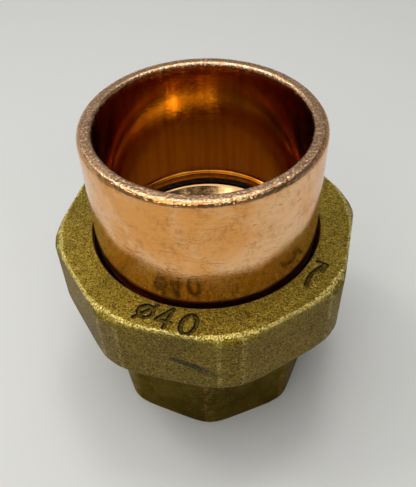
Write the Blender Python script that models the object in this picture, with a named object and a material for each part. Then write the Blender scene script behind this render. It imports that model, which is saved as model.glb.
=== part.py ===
"""A pipe union for copper tube: brass body, flat gasket, copper tail and octagonal nut.

Lengths are in metres and +Z is up.  The union stands on the lower end of its body, with the
origin on the common axis at the bottom.
"""

from math import atan2, ceil, cos, floor, pi, radians, sin, tan

import bmesh
import bpy
from mathutils import Matrix

# driving dimensions

TUBE_CUP_RADIUS = 0.0207  # both solder cups, for a 41.3 mm tube
SEAL_GAP = 0.0003  # between faces that press on each other in the made-up union

TAIL_WALL = 0.00295
TAIL_CUP_DEPTH = 0.0287
TAIL_STOP_WIDTH = 0.0010  # how far the tube stop stands in from the cup's wall
TAIL_FLANGE_THICKNESS = 0.0016
TAIL_RIM_ROUND = 0.0012
TAIL_MOUTH_ROUND = 0.0008  # inner edge of the rim
TAIL_FLANGE_ROUND = 0.0004

GASKET_THICKNESS = 0.0016
GASKET_SETBACK = 0.0006  # the gasket's hole is wider than the tube stop by this

NUT_TAIL_GAP = 0.0007  # between the lip's hole and the tail
NUT_LIP_WIDTH = 0.00205  # how far the lip reaches in over the tail's flange
NUT_LIP_THICKNESS = 0.0029
NUT_WALL = 0.00275  # from the bottom of the thread to the flats
NUT_CORNER_RISE = 0.00165  # from the flats out to the cylinder that trims the corners
NUT_CORNER_DIRECTION = radians(-83.0)
NUT_SKIRT = 0.0006  # how far the nut hangs below the threaded head
NUT_CHAMFER = 0.0012
NUT_MOUTH_CHAMFER = 0.0006
NUT_HOLE_CHAMFER = 0.0003
NUT_RELIEF_DEPTH = 0.0002  # how much wider the groove under the lip is than the thread

THREAD_PITCH = 0.00231
THREAD_DEPTH = 0.0011
THREAD_CREST_WIDTH = 0.00023  # axial width of a tooth of the body at its crest
THREAD_FLANK_ANGLE = radians(30.0)
THREAD_CREST_GAP = 0.0003
THREAD_FLANK_GAP = 0.0003
FLANGE_THREAD_GAP = 0.0005  # between the tail's flange and the nut's thread

BODY_WALL = 0.0025  # between the cup and the flats
BODY_CORNER_RISE = 0.0014
BODY_CORNER_DIRECTION = radians(-92.0)
BODY_CUP_DEPTH = 0.0279
BODY_STOP_WIDTH = 0.0027  # from the cup's wall in to the waterway
BODY_NECK_HEIGHT = 0.0002  # from the cup's bottom up to the threaded head's underside
BODY_HEAD_LENGTH = 0.0089
BODY_FOOT_CHAMFER = 0.0008
BODY_CUP_CHAMFER = 0.0004
BODY_SEAT_CHAMFER = 0.0022
BODY_HEAD_CHAMFER = 0.0009
BODY_BLANK_ALLOWANCE = 0.0003  # how far the head's blank stands outside the thread's crest

FLATS = 8
TURNED_STEPS = 64  # segments round a turned surface
THREAD_STEPS = 48  # segments in one turn of thread
ROUND_STEPS = 4  # segments in a quarter round
CUTTER_MARGIN = 0.0020  # how far a cutter runs past what it cuts

# radii that follow, from the cup outwards through tail, lip, thread and flats

TAIL_RADIUS = TUBE_CUP_RADIUS + TAIL_WALL
TAIL_STOP_RADIUS = TUBE_CUP_RADIUS - TAIL_STOP_WIDTH
GASKET_HOLE_RADIUS = TAIL_STOP_RADIUS + GASKET_SETBACK
WATERWAY_RADIUS = TUBE_CUP_RADIUS - BODY_STOP_WIDTH
NUT_HOLE_RADIUS = TAIL_RADIUS + NUT_TAIL_GAP
FLANGE_RADIUS = NUT_HOLE_RADIUS + NUT_LIP_WIDTH
NUT_THREAD_RADIUS = FLANGE_RADIUS + FLANGE_THREAD_GAP
NUT_ROOT_RADIUS = NUT_THREAD_RADIUS + THREAD_DEPTH
NUT_RELIEF_RADIUS = NUT_ROOT_RADIUS + NUT_RELIEF_DEPTH
NUT_FLAT_RADIUS = NUT_ROOT_RADIUS + NUT_WALL
NUT_CORNER_RADIUS = NUT_FLAT_RADIUS + NUT_CORNER_RISE
THREAD_ROOT_RADIUS = NUT_THREAD_RADIUS - THREAD_CREST_GAP
THREAD_CREST_RADIUS = THREAD_ROOT_RADIUS + THREAD_DEPTH
BODY_FLAT_RADIUS = TUBE_CUP_RADIUS + BODY_WALL
BODY_CORNER_RADIUS = BODY_FLAT_RADIUS + BODY_CORNER_RISE

# heights that follow, from the bench upwards

HEAD_BASE_Z = BODY_CUP_DEPTH + BODY_NECK_HEIGHT
SEAT_Z = HEAD_BASE_Z + BODY_HEAD_LENGTH
GASKET_BASE_Z = SEAT_Z + SEAL_GAP
TAIL_BASE_Z = GASKET_BASE_Z + GASKET_THICKNESS + SEAL_GAP
LIP_BASE_Z = TAIL_BASE_Z + TAIL_FLANGE_THICKNESS + SEAL_GAP
NUT_BASE_Z = HEAD_BASE_Z - NUT_SKIRT
NUT_HEIGHT = LIP_BASE_Z + NUT_LIP_THICKNESS - NUT_BASE_Z
TAIL_HEIGHT = TAIL_FLANGE_THICKNESS + TAIL_CUP_DEPTH

# widths of a tooth of the body's thread and of the nut's groove round it, at their roots

TOOTH_BASE = THREAD_CREST_WIDTH + 2.0 * THREAD_DEPTH * tan(THREAD_FLANK_ANGLE)
GROOVE_BASE = TOOTH_BASE + 2.0 * (THREAD_FLANK_GAP - THREAD_CREST_GAP * tan(THREAD_FLANK_ANGLE))


def clear_scene():
    for old in list(bpy.data.objects):
        bpy.data.objects.remove(old, do_unlink=True)


def plain_material(name, colour, roughness, metallic):
    made = bpy.data.materials.new(name)
    made.use_nodes = True
    shader = made.node_tree.nodes["Principled BSDF"]
    shader.inputs["Base Color"].default_value = (*colour, 1.0)
    shader.inputs["Roughness"].default_value = roughness
    shader.inputs["Metallic"].default_value = metallic
    return made


def add_object(name, shape):
    """Turn a bmesh into an object of the scene, its faces pointing out."""
    bmesh.ops.recalc_face_normals(shape, faces=shape.faces)
    mesh = bpy.data.meshes.new(name)
    shape.to_mesh(mesh)
    shape.free()
    made = bpy.data.objects.new(name, mesh)
    bpy.context.collection.objects.link(made)
    return made


def spin_outline(shape, outline, closed, turns=1, steps=TURNED_STEPS, rise=0.0):
    """Spin (radius, height) points round the Z axis, rising by the given height each turn."""
    points = [shape.verts.new((radius, 0.0, height)) for radius, height in outline]
    ends = points[1:] + points[:1] if closed else points[1:]
    sides = [shape.edges.new(pair) for pair in zip(points, ends)]
    bmesh.ops.spin(
        shape,
        geom=points + sides,
        cent=(0.0, 0.0, 0.0),
        axis=(0.0, 0.0, 1.0),
        dvec=(0.0, 0.0, rise / steps),
        angle=2.0 * pi * turns,
        steps=steps * turns,
    )
    bmesh.ops.remove_doubles(shape, verts=shape.verts, dist=1e-6)


def turned(name, outline):
    """A ring: a closed outline of (radius, height) points spun round the Z axis."""
    shape = bmesh.new()
    spin_outline(shape, outline, closed=True)
    return add_object(name, shape)


def turned_solid(name, outline):
    """A bar: an outline from the axis round to the axis again, spun round it."""
    shape = bmesh.new()
    spin_outline(shape, outline, closed=False)
    return add_object(name, shape)


def quarter_round(corner, size, side, end):
    """Points round a corner (radius, height) of an outline, from its side to its end face.

    side is +1 for a corner on the outside of the wall and -1 on the bore; end is +1 for an
    upper corner and -1 for a lower one.
    """
    centre_radius = corner[0] - side * size
    centre_height = corner[1] - end * size
    points = []
    for step in range(ROUND_STEPS + 1):
        angle = 0.5 * pi * step / ROUND_STEPS
        radius = centre_radius + side * size * cos(angle)
        points.append((radius, centre_height + end * size * sin(angle)))
    return points


def eight_flats(name, flat_radius, bottom, top, corner_direction):
    """An upright octagonal bar with one corner in the given direction."""
    shape = bmesh.new()
    corner_radius = flat_radius / cos(pi / FLATS)
    bmesh.ops.create_cone(
        shape,
        cap_ends=True,
        segments=FLATS,
        radius1=corner_radius,
        radius2=corner_radius,
        depth=top - bottom,
        matrix=Matrix.Translation((0.0, 0.0, 0.5 * (bottom + top))),
    )
    shape.verts.ensure_lookup_table()
    corner = shape.verts[0].co
    turn = corner_direction - atan2(corner.y, corner.x)
    bmesh.ops.rotate(shape, verts=shape.verts, matrix=Matrix.Rotation(turn, 3, "Z"))
    return add_object(name, shape)


def threaded_bar(name, root_radius, tooth_base, bottom, top, origin_z=0.0):
    """A solid bar with a right-hand trapezoid thread that covers bottom to top.

    Its outline is one tooth and the root after it.  Spun with a rise of one pitch a turn, the
    outline's last point meets the next turn's first, and each end closes in a cone.  Teeth are
    counted from the union's own origin, origin_z below the bar's, so that the body's and the
    nut's threads are in step.
    """
    flank = THREAD_DEPTH * tan(THREAD_FLANK_ANGLE)
    crest_radius = root_radius + THREAD_DEPTH
    first = floor((bottom + origin_z) / THREAD_PITCH) - 1
    turns = ceil((top + origin_z) / THREAD_PITCH) + 1 - first
    start = first * THREAD_PITCH - origin_z
    outline = [
        (root_radius, start - 0.5 * tooth_base),
        (crest_radius, start - 0.5 * tooth_base + flank),
        (crest_radius, start + 0.5 * tooth_base - flank),
        (root_radius, start + 0.5 * tooth_base),
        (root_radius, start - 0.5 * tooth_base + THREAD_PITCH),
    ]
    shape = bmesh.new()
    spin_outline(shape, outline, closed=False, turns=turns, steps=THREAD_STEPS, rise=THREAD_PITCH)
    middle = 0.5 * (bottom + top)
    for apex in (start - root_radius, start + turns * THREAD_PITCH + root_radius):
        above = apex > middle
        rim = [e for e in shape.edges if e.is_boundary and (e.verts[0].co.z > middle) == above]
        grown = bmesh.ops.extrude_edge_only(shape, edges=rim)["geom"]
        inner = [item for item in grown if isinstance(item, bmesh.types.BMVert)]
        bmesh.ops.pointmerge(shape, verts=inner, merge_co=(0.0, 0.0, apex))
    return add_object(name, shape)


def combine(piece, tool, operation):
    """Add a live Boolean; the tool rides with the piece and stays out of the result."""
    boolean = piece.modifiers.new(tool.name, "BOOLEAN")
    boolean.operation = operation
    boolean.solver = "EXACT"
    boolean.object = tool
    tool.hide_render = True
    tool.display_type = "WIRE"
    tool.parent = piece


def finish(piece, look, height=0.0, pivot=None):
    """Shade the piece, give it its material and set it at its height on the axis."""
    piece.data.shade_smooth()
    piece.data.set_sharp_from_angle(angle=radians(30.0))
    piece.data.materials.append(look)
    piece.parent = pivot
    piece.location.z = height
    return piece


def make_body(look):
    """The brass body: octagonal foot and threaded head, bored from both ends."""
    foot_radius = BODY_CORNER_RADIUS
    foot = turned_solid(
        "union_body",
        [
            (0.0, 0.0),
            (foot_radius - BODY_FOOT_CHAMFER, 0.0),
            (foot_radius, BODY_FOOT_CHAMFER),
            (foot_radius, SEAT_Z - BODY_HEAD_CHAMFER),
            (0.0, SEAT_Z - BODY_HEAD_CHAMFER),
        ],
    )
    flats = eight_flats(
        "body_flats", BODY_FLAT_RADIUS, -CUTTER_MARGIN, SEAT_Z, BODY_CORNER_DIRECTION
    )
    head_edge = THREAD_CREST_RADIUS - BODY_HEAD_CHAMFER
    blank_radius = THREAD_CREST_RADIUS + BODY_BLANK_ALLOWANCE
    blank_chamfer = BODY_HEAD_CHAMFER + BODY_BLANK_ALLOWANCE
    head = turned_solid(
        "body_head",
        [
            (0.0, HEAD_BASE_Z),
            (head_edge, HEAD_BASE_Z),
            (blank_radius, HEAD_BASE_Z + blank_chamfer),
            (blank_radius, SEAT_Z - blank_chamfer),
            (head_edge, SEAT_Z),
            (0.0, SEAT_Z),
        ],
    )
    die = threaded_bar(
        "body_thread", THREAD_ROOT_RADIUS, TOOTH_BASE, HEAD_BASE_Z, SEAT_Z
    )
    seat_radius = WATERWAY_RADIUS + BODY_SEAT_CHAMFER
    cup_mouth = TUBE_CUP_RADIUS + BODY_CUP_CHAMFER
    bore = turned_solid(
        "body_bore",
        [
            (0.0, -CUTTER_MARGIN),
            (cup_mouth, -CUTTER_MARGIN),
            (cup_mouth, 0.0),
            (TUBE_CUP_RADIUS, BODY_CUP_CHAMFER),
            (TUBE_CUP_RADIUS, BODY_CUP_DEPTH),
            (WATERWAY_RADIUS, BODY_CUP_DEPTH),
            (WATERWAY_RADIUS, SEAT_Z - BODY_SEAT_CHAMFER),
            (seat_radius, SEAT_Z),
            (seat_radius, SEAT_Z + CUTTER_MARGIN),
            (0.0, SEAT_Z + CUTTER_MARGIN),
        ],
    )
    combine(head, die, "INTERSECT")
    combine(foot, flats, "INTERSECT")
    combine(foot, head, "UNION")
    combine(foot, bore, "DIFFERENCE")
    return finish(foot, look)


def make_gasket(look, pivot):
    """The flat washer, as wide as the flange that presses it on the seat."""
    outline = [
        (GASKET_HOLE_RADIUS, 0.0),
        (FLANGE_RADIUS, 0.0),
        (FLANGE_RADIUS, GASKET_THICKNESS),
        (GASKET_HOLE_RADIUS, GASKET_THICKNESS),
    ]
    return finish(turned("seat_gasket", outline), look, GASKET_BASE_Z - SEAT_Z, pivot)


def make_tail(look, pivot):
    """The copper tail: flange, tube stop and solder cup in one wall."""
    outline = [(TAIL_STOP_RADIUS, 0.0)]
    outline += quarter_round((FLANGE_RADIUS, 0.0), TAIL_FLANGE_ROUND, 1, -1)[::-1]
    outline += quarter_round((FLANGE_RADIUS, TAIL_FLANGE_THICKNESS), TAIL_FLANGE_ROUND, 1, 1)
    outline += [(TAIL_RADIUS, TAIL_FLANGE_THICKNESS)]
    outline += quarter_round((TAIL_RADIUS, TAIL_HEIGHT), TAIL_RIM_ROUND, 1, 1)
    outline += quarter_round((TUBE_CUP_RADIUS, TAIL_HEIGHT), TAIL_MOUTH_ROUND, -1, 1)[::-1]
    outline += [
        (TUBE_CUP_RADIUS, TAIL_FLANGE_THICKNESS),
        (TAIL_STOP_RADIUS, TAIL_FLANGE_THICKNESS),
    ]
    return finish(turned("tail_piece", outline), look, TAIL_BASE_Z - SEAT_Z, pivot)


def make_nut(look, pivot):
    """The brass nut: octagonal blank, lip hole, relief under the lip and tapped skirt."""
    edge_radius = NUT_CORNER_RADIUS - NUT_CHAMFER
    lip_base = NUT_HEIGHT - NUT_LIP_THICKNESS
    relief_base = TAIL_BASE_Z - NUT_BASE_Z
    relief_middle = 0.5 * (relief_base + lip_base)
    core_radius = NUT_THREAD_RADIUS - THREAD_CREST_GAP
    mouth = NUT_ROOT_RADIUS + NUT_MOUTH_CHAMFER
    blank = turned_solid(
        "union_nut",
        [
            (0.0, 0.0),
            (edge_radius, 0.0),
            (NUT_CORNER_RADIUS, NUT_CHAMFER),
            (NUT_CORNER_RADIUS, NUT_HEIGHT - NUT_CHAMFER),
            (edge_radius, NUT_HEIGHT),
            (0.0, NUT_HEIGHT),
        ],
    )
    flats = eight_flats(
        "nut_flats",
        NUT_FLAT_RADIUS,
        -CUTTER_MARGIN,
        NUT_HEIGHT + CUTTER_MARGIN,
        NUT_CORNER_DIRECTION,
    )
    tap = threaded_bar(
        "nut_tap",
        NUT_THREAD_RADIUS,
        GROOVE_BASE,
        -CUTTER_MARGIN,
        relief_middle,
        NUT_BASE_Z,
    )
    tap_length = turned_solid(
        "nut_tap_length",
        [
            (0.0, -CUTTER_MARGIN),
            (NUT_CORNER_RADIUS, -CUTTER_MARGIN),
            (NUT_CORNER_RADIUS, relief_middle),
            (0.0, relief_middle),
        ],
    )
    core = turned_solid(
        "nut_core",
        [
            (0.0, -CUTTER_MARGIN),
            (mouth, -CUTTER_MARGIN),
            (mouth, 0.0),
            (core_radius, mouth - core_radius),
            (core_radius, relief_base + core_radius - NUT_RELIEF_RADIUS),
            (NUT_RELIEF_RADIUS, relief_base),
            (NUT_RELIEF_RADIUS, lip_base),
            (NUT_HOLE_RADIUS, lip_base),
            (NUT_HOLE_RADIUS, NUT_HEIGHT - NUT_HOLE_CHAMFER),
            (NUT_HOLE_RADIUS + NUT_HOLE_CHAMFER, NUT_HEIGHT),
            (NUT_HOLE_RADIUS + NUT_HOLE_CHAMFER, NUT_HEIGHT + CUTTER_MARGIN),
            (0.0, NUT_HEIGHT + CUTTER_MARGIN),
        ],
    )
    combine(tap, tap_length, "INTERSECT")
    combine(blank, flats, "INTERSECT")
    combine(blank, core, "DIFFERENCE")
    combine(blank, tap, "DIFFERENCE")
    return finish(blank, look, NUT_BASE_Z - SEAT_Z, pivot)


def make_union():
    clear_scene()
    brass = plain_material("cast_brass", (0.50, 0.39, 0.14), 0.42, 1.0)
    nut_brass = plain_material("blasted_brass", (0.52, 0.42, 0.16), 0.50, 1.0)
    copper = plain_material("drawn_copper", (0.78, 0.52, 0.36), 0.35, 1.0)
    rubber = plain_material("black_rubber", (0.02, 0.02, 0.02), 0.70, 0.0)

    body = make_body(brass)
    lift_axis = bpy.data.objects.new("lift_axis", None)
    bpy.context.collection.objects.link(lift_axis)
    lift_axis.parent = body
    lift_axis.location.z = SEAT_Z
    make_gasket(rubber, lift_axis)
    make_tail(copper, lift_axis)
    make_nut(nut_brass, lift_axis)


make_union()
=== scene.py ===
# Looks of a pipe union: satin copper tail, blasted brass nut, smoother brass body, black gasket.
# Metres, +Z up, standing on the lower end of the body. Every piece is one wall carried round the Z axis.
from math import cos, pi, radians, sin, tan

import bpy
import numpy as np
from mathutils import Matrix, Vector


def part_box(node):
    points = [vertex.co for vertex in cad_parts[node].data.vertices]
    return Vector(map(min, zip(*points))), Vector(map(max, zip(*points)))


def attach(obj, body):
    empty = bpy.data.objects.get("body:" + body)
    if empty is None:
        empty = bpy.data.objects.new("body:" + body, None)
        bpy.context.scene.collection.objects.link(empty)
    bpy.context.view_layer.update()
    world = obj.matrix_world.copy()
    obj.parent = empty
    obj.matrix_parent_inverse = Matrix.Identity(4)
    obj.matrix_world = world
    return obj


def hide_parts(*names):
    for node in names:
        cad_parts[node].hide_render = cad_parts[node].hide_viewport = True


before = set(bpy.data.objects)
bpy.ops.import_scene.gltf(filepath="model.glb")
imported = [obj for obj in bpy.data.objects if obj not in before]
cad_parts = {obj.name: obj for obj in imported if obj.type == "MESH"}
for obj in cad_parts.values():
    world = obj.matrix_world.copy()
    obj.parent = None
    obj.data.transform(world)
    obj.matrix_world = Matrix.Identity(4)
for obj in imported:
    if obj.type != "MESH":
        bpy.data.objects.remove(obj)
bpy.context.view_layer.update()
mm = 0.001
print("frame loaded:", ", ".join(sorted(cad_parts)))


# arrays that every piece uses

def evenAngles(count, crowded=(), extra=0.0, spread=0.0, soft=radians(0.6), fineSteps=7200):
    # steps round the axis, closer where a mark is: the running sum of a density with a bump at each mark,
    # read backwards
    fine = np.linspace(0.0, 2 * pi, fineSteps + 1)
    density = np.ones_like(fine)
    for centre in crowded:
        away = np.abs((fine - centre + pi) % (2 * pi) - pi)
        density += extra / (1.0 + np.exp((away - spread) / soft))
    travelled = np.concatenate([[0.0], np.cumsum(0.5 * (density[1:] + density[:-1]))])
    return np.interp(np.arange(count) / count * travelled[-1], travelled, fine)


def softMin(a, b, width):
    # the smaller of two arrays, with the crossing rounded: min - width * log(1 + exp(-|a - b| / width))
    return np.minimum(a, b) - width * np.log1p(np.exp(-np.abs(a - b) / width))


def easeStep(low, high, value):
    # 0 at low, 1 at high, 3t^2 - 2t^3 between them, held beyond them; low may be the larger
    share = np.clip((value - low) / (high - low), 0.0, 1.0)
    return share * share * (3.0 - 2.0 * share)


def nearness(radius, height, atRadius, atHeight, reach):
    # 1 at a point of the outline, falling away round it as exp(-distance^2 / reach^2)
    return np.exp(-((radius - atRadius) ** 2 + (height - atHeight) ** 2) / reach ** 2)


def run(start, end, rows):
    # rows of an outline from start to end, each (radius, height), with the end left to the next stretch
    share = np.arange(rows)[:, None] / rows
    return [np.asarray(a) + (np.asarray(b) - np.asarray(a)) * share for a, b in zip(start, end)]


def bend(centreRadius, centreHeight, size, fromDegrees, toDegrees, rows):
    # an arc of an outline: centre + size * (cos, sin) of an angle that runs from one value to the other
    angle = np.radians(fromDegrees + (toDegrees - fromDegrees) * np.arange(rows) / rows)[:, None]
    return [centreRadius + size * np.cos(angle), centreHeight + size * np.sin(angle)]


def levels(*stretches):
    # a column of heights, each stretch (from, to, rows) evenly spaced with its end left to the next
    return np.concatenate([np.linspace(a, b, rows + 1)[:-1] for a, b, rows in stretches])[:, None]


def stacked(stretches, columns):
    # the stretches of an outline one after the other, each widened to the same number of columns
    def widened(part):
        return np.broadcast_to(part, (part.shape[0], columns))

    return [np.vstack([widened(stretch[k]) for stretch in stretches]) for k in (0, 1)]


def waviness(angles, heights, seed, waves, mostTurns, pitchSpread=120.0):
    # slow dents: a sum of cosines of (whole turns * angle + pitch * height + phase), divided by their number
    draw = np.random.default_rng(seed)
    total = 0.0
    for _ in range(waves):
        turns = draw.integers(1, mostTurns)
        pitch = draw.normal(0.0, pitchSpread)
        total = total + np.cos(turns * angles[None, :] + pitch * heights + draw.uniform(0, 2 * pi))
    return total / waves


def raggedRing(columns, seed, blur):
    # random numbers round a ring, smoothed with a bell curve and scaled to a spread of one
    draw = np.random.default_rng(seed).normal(size=columns)
    away = np.minimum(np.arange(columns), columns - np.arange(columns))
    bell = np.exp(-0.5 * (away / blur) ** 2)
    smooth = np.real(np.fft.ifft(np.fft.fft(draw) * np.fft.fft(bell)))
    return (smooth - smooth.mean()) / smooth.std()


def wallMesh(name, radius, height, angles, masks):
    # point (i, j) = (r cos a, r sin a, z) for row i of the outline and angle j. Rows and columns both wrap,
    # so the wall closes on itself. The map "wrap" is (angle * largest radius, length along the outline) in
    # millimetres.
    rows, columns = radius.shape
    points = np.stack([radius * np.cos(angles), radius * np.sin(angles), height], -1).reshape(-1, 3)
    index = np.arange(rows * columns).reshape(rows, columns)
    along = np.roll(index, -1, 0)
    corners = np.stack([index, np.roll(index, -1, 1), np.roll(along, -1, 1), along], -1).reshape(-1, 4)
    mesh = bpy.data.meshes.new(name)
    mesh.vertices.add(len(points))
    mesh.vertices.foreach_set("co", points.astype(np.float32).ravel())
    mesh.loops.add(corners.size)
    mesh.loops.foreach_set("vertex_index", corners.astype(np.int32).ravel())
    mesh.polygons.add(len(corners))
    mesh.polygons.foreach_set("loop_start", np.arange(0, corners.size, 4, dtype=np.int32))
    mesh.update(calc_edges=True)
    meanRadius, meanHeight = radius.mean(1), height.mean(1)
    steps = np.hypot(np.roll(meanRadius, -1) - meanRadius, np.roll(meanHeight, -1) - meanHeight)
    length = np.concatenate([[0.0], np.cumsum(steps)]) / mm
    arc = np.append(angles, 2 * pi) * radius.max() / mm
    u = np.stack([arc[:-1], arc[1:], arc[1:], arc[:-1]], -1)[None].repeat(rows, 0)
    v = np.stack([length[:-1], length[:-1], length[1:], length[1:]], -1)[:, None].repeat(columns, 1)
    wrap = mesh.uv_layers.new(name="wrap")
    wrap.uv.foreach_set("vector", np.stack([u, v], -1).astype(np.float32).ravel())
    for mask, values in masks.items():
        layer = mesh.attributes.new(mask, "FLOAT", "POINT")
        layer.data.foreach_set("value", np.broadcast_to(values, radius.shape).astype(np.float32).ravel())
    mesh.shade_smooth()
    piece = bpy.data.objects.new(name, mesh)
    bpy.context.scene.collection.objects.link(piece)
    print(name, "has", len(corners), "faces")
    return piece


def flatRadius(angles, flat, cornerDirection):
    # an octagon in polar form: flat / cos(angle from the middle of the nearest side)
    side = (angles - cornerDirection) % (pi / 4) - pi / 8
    return flat / np.cos(side)


# thread shared by body and nut

thread = {
    "pitch": 2.31 * mm, "depth": 1.1 * mm, "flankAngle": radians(30),
    "bodyRoot": 26.6 * mm, "bodyBase": 1.5 * mm,  # the base is the tooth's width at its root
    "nutRoot": 26.9 * mm, "nutBase": 1.754 * mm,
}


def toothRadius(angles, heights, rootRadius, baseWidth):
    # a right-hand thread: radius over (height - pitch * angle / turn), a trapezoid tooth centred on each
    # whole pitch, rising from the root at the flank angle and cut off at its depth
    phase = heights / thread["pitch"] - angles[None, :] / (2 * pi)
    away = np.abs((phase + 0.5) % 1.0 - 0.5) * thread["pitch"]
    rise = (0.5 * baseWidth - away) / tan(thread["flankAngle"])
    return rootRadius + np.clip(rise, 0.0, thread["depth"])


# copper tail

tail = {
    "cupRadius": 20.7 * mm, "wall": 2.95 * mm, "stopRadius": 19.7 * mm, "flangeThickness": 1.6 * mm,
    "rimRound": 1.2 * mm, "mouthRound": 0.8 * mm, "flangeRound": 0.4 * mm, "neckRound": 0.3 * mm,
    "cupFillet": 0.45 * mm, "stopRound": 0.2 * mm, "columns": 720,
    # how deep the unevenness is, and how far each kind runs along the rim, in columns
    "rimNicks": 0.04 * mm, "rimChatter": 0.03 * mm, "drawnDents": 0.07 * mm,
    "nickTwist": 0.9, "nickBlur": 1.6, "chatterBlurs": (1.1, 4.0), "slowChatter": 0.5,
    "dentWaves": 7, "dentTurns": 9, "nickSeeds": (3, 4), "chatterSeeds": (5, 6), "dentSeed": 11,
    # shares of the unevenness that also lower the rim
    "faceDrop": 0.5, "nickDrop": 0.6,
    # how far the masks reach: shares of the rim's rounding, or depths below the rim
    "edgeSink": 0.25, "edgeReach": 0.6, "mouthReach": 0.5 * mm, "faceDepths": (1.1 * mm, 0.7 * mm),
    # the gap depths and the ledge share below set painted shade on the copper in the gap under the nut and
    # round the ledge's corners
    "sawnLost": 0.8, "sawnEnd": (0.8, 0.4), "gapShadeDepths": (25.3 * mm, 26.5 * mm),
    "ledgeReach": 0.4 * mm, "ledgeShade": 0.75, "cupSkin": 0.3 * mm, "wallSkin": 0.5 * mm,
}


def makeTail(t):
    # turned outline, up the outside, in over the rim, down the cup and out under the flange
    low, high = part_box("tail_piece")
    flange = high.x
    outside = t["cupRadius"] + t["wall"]
    stopHeight = low.z + t["flangeThickness"]
    angles = evenAngles(t["columns"])
    rim, mouthRound, cupFillet, stopRound = t["rimRound"], t["mouthRound"], t["cupFillet"], t["stopRound"]
    flangeRound, neckRound, cup, stop = t["flangeRound"], t["neckRound"], t["cupRadius"], t["stopRadius"]
    stretches = [
        bend(flange - flangeRound, low.z + flangeRound, flangeRound, -90, 0, 4),
        run((flange, low.z + flangeRound), (flange, stopHeight - flangeRound), 2),
        bend(flange - flangeRound, stopHeight - flangeRound, flangeRound, 0, 90, 4),
        run((flange - flangeRound, stopHeight), (outside + neckRound, stopHeight), 4),
        bend(outside + neckRound, stopHeight + neckRound, neckRound, 270, 180, 3),
        run((outside, stopHeight + neckRound), (outside, high.z - rim), 30),
        bend(outside - rim, high.z - rim, rim, 0, 90, 12),
        run((outside - rim, high.z), (cup + mouthRound, high.z), 6),
        bend(cup + mouthRound, high.z - mouthRound, mouthRound, 90, 180, 9),
        run((cup, high.z - mouthRound), (cup, stopHeight + cupFillet), 24),
        bend(cup - cupFillet, stopHeight + cupFillet, cupFillet, 0, -90, 4),
        run((cup - cupFillet, stopHeight), (stop + stopRound, stopHeight), 3),
        bend(stop + stopRound, stopHeight - stopRound, stopRound, 90, 180, 3),
        run((stop, stopHeight - stopRound), (stop, low.z), 3),
        run((stop, low.z), (flange - flangeRound, low.z), 5),
    ]
    radius, height = stacked(stretches, len(angles))
    # how near a point is to the rounded outer edge, to the mouth of the cup and to the ledge's two corners
    sink = t["edgeSink"] * rim
    edge = nearness(radius, height, outside - sink, high.z - sink, t["edgeReach"] * rim)
    mouth = nearness(radius, height, cup, high.z - mouthRound, t["mouthReach"])
    ledge = sum(nearness(radius, height, r, stopHeight, t["ledgeReach"]) for r in (stop, cup))
    faceFrom, faceTo = t["faceDepths"]
    face = easeStep(high.z - faceFrom, high.z - faceTo, height)
    # nicks along the outer edge, chatter round the mouth and slow dents in the drawn wall
    twist = t["nickTwist"] * np.arange(len(radius))[:, None]
    ring, crossRing = (raggedRing(len(angles), seed, t["nickBlur"]) for seed in t["nickSeeds"])
    nicks = np.abs(np.cos(twist) * ring + np.sin(twist) * crossRing)
    rings = [raggedRing(len(angles), *pair) for pair in zip(t["chatterSeeds"], t["chatterBlurs"])]
    chatter = rings[0] + t["slowChatter"] * rings[1]
    shell = (height > stopHeight + mm) * easeStep(cup + mm, outside - t["wallSkin"], radius)
    dents = 1.0 + waviness(angles, height, t["dentSeed"], t["dentWaves"], t["dentTurns"])
    radius = radius - t["rimNicks"] * edge * nicks + t["rimChatter"] * mouth * chatter
    radius = radius - t["drawnDents"] * shell * dents
    height = height - t["rimChatter"] * (t["faceDrop"] * face + mouth) * np.abs(chatter)
    height = height - t["nickDrop"] * t["rimNicks"] * edge * nicks
    # painted shade: the copper in the gap between tail and nut, below the nut's top, and round the ledge's
    # two corners is darkened
    gapShadeFrom, gapShadeTo = t["gapShadeDepths"]
    gap = easeStep(high.z - gapShadeFrom, high.z - gapShadeTo, height) * easeStep(cup, outside, radius)
    sawnFrom, sawnTo = (outside - share * rim for share in t["sawnEnd"])
    sawn = face * (1.0 - t["sawnLost"] * easeStep(sawnFrom, sawnTo, radius))
    masks = {
        "rim": np.clip(sawn, 0, 1),
        "cup": (radius < cup + t["cupSkin"]) * 1.0,
        "paintedShade": np.clip(gap + t["ledgeShade"] * ledge, 0, 1),
    }
    return wallMesh("copperTail", radius, height, angles, masks)


# marks struck into the nut, drawn in millimetres about the middle of each mark

groove = {"floorHalf": 0.27, "edgeHalf": 0.5, "burrAt": 0.62, "burrWidth": 0.13, "burrHeight": 0.12}


def circleStrokes(x, y, width, tall, pieces=14):
    # an ellipse as short strokes: middle + half its width and height times (cos, sin)
    turn = np.linspace(0, 2 * pi, pieces + 1)
    points = np.stack([x + 0.5 * width * np.cos(turn), y + 0.5 * tall * np.sin(turn)], -1)
    return list(zip(points[:-1], points[1:]))


def boreMark():
    # a diameter sign and the nominal bore, 4 and 0: straight strokes and two ellipses
    strokes = circleStrokes(-4.6, 0.0, 2.9, 2.9) + [((-6.2, -2.0), (-3.0, 2.0))]
    strokes += [((0.9, -0.9), (-2.0, -0.9)), ((-2.0, -0.9), (0.1, 2.3)), ((0.1, 2.3), (0.1, -2.3))]
    return strokes + circleStrokes(4.2, 0.0, 2.8, 4.6)


def turnArrow(bowRadius=7.0, sink=6.2):
    # a curved arrow for the way that the nut tightens: an arc of (cos, sin) and two barbs at its first point
    bow = np.linspace(radians(60), radians(120), 8)
    points = np.stack([bowRadius * np.cos(bow), bowRadius * np.sin(bow) - sink], -1)
    head = points[0]
    return list(zip(points[:-1], points[1:])) + [(head, head + (-0.4, 1.9)), (head, head + (-2.0, -0.3))]


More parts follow.
